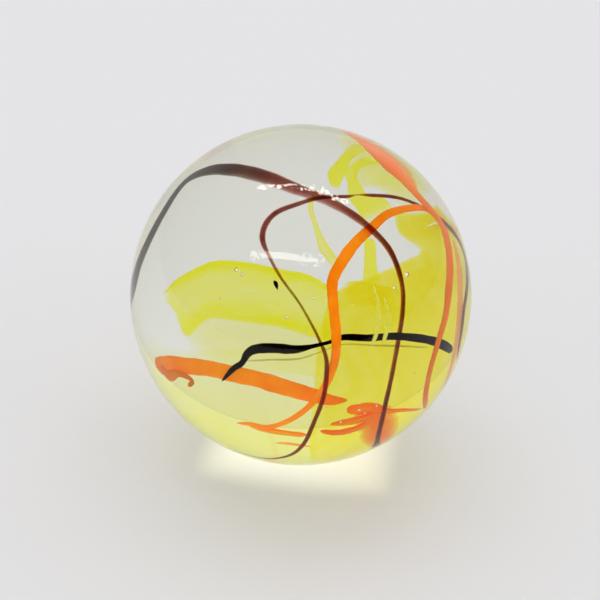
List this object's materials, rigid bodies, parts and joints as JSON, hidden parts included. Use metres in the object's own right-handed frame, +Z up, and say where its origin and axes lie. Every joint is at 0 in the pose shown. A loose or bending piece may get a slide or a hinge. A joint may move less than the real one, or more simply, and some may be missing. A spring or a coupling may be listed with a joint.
{
  "type": "glass marble",
  "caption": "Solid ball of clear glass with fine aubergine threads, orange ribbons and yellow veils sealed inside it.",
  "frame": {"origin": "middle of the ball", "axes": "+Z up through the middle of the ball, -Y towards the side where the black band and the orange arch face"},
  "size_m": [0.035, 0.035, 0.035],
  "materials": {
    "clear_glass": "clear glass with a faint warm tint, polished, a few fine bubbles",
    "aubergine_glass": "dark aubergine glass, maroon where it is thin",
    "black_glass": "near-black glass, dense",
    "orange_glass": "opaque vivid orange glass",
    "deep_orange_glass": "opaque deep orange glass",
    "rust_glass": "opaque brownish orange glass",
    "tan_glass": "milky tan glass, half clear",
    "olive_glass": "thin olive glass",
    "pale_orange_glass": "thin orange glass, pale and half clear",
    "yellow_glass": "transparent lemon yellow glass, deeper at its rims",
    "lemon_glass": "transparent greenish lemon glass",
    "lemon_milk_glass": "milky lemon glass",
    "pale_yellow_glass": "thin pale yellow glass"
  },
  "bodies": {
    "root": {"clear_ball": "clear_glass", "long_thread": "aubergine_glass", "loop_thread": "aubergine_glass", "black_band": "black_glass", "faint_thread": "olive_glass", "dark_speck": "black_glass", "orange_arch": "orange_glass", "orange_side": "deep_orange_glass", "orange_hairline": "tan_glass", "orange_low": "orange_glass", "orange_hook": "rust_glass", "orange_tail": "orange_glass", "orange_trace": "pale_orange_glass", "orange_knot": "orange_glass", "orange_knot_low": "orange_glass", "orange_knot_arc": "orange_glass", "orange_cloud": "pale_orange_glass", "yellow_lobe": "lemon_glass", "yellow_skirt": "pale_yellow_glass", "yellow_heart": "yellow_glass", "yellow_fold": "yellow_glass", "yellow_tooth": "lemon_glass", "yellow_curl": "lemon_glass", "yellow_inner_curl": "lemon_glass", "yellow_shoulder": "pale_yellow_glass", "yellow_wisp": "lemon_glass", "yellow_wash": "pale_yellow_glass", "yellow_streak": "lemon_milk_glass", "yellow_streak_right": "lemon_milk_glass"}
  },
  "joints": []
}
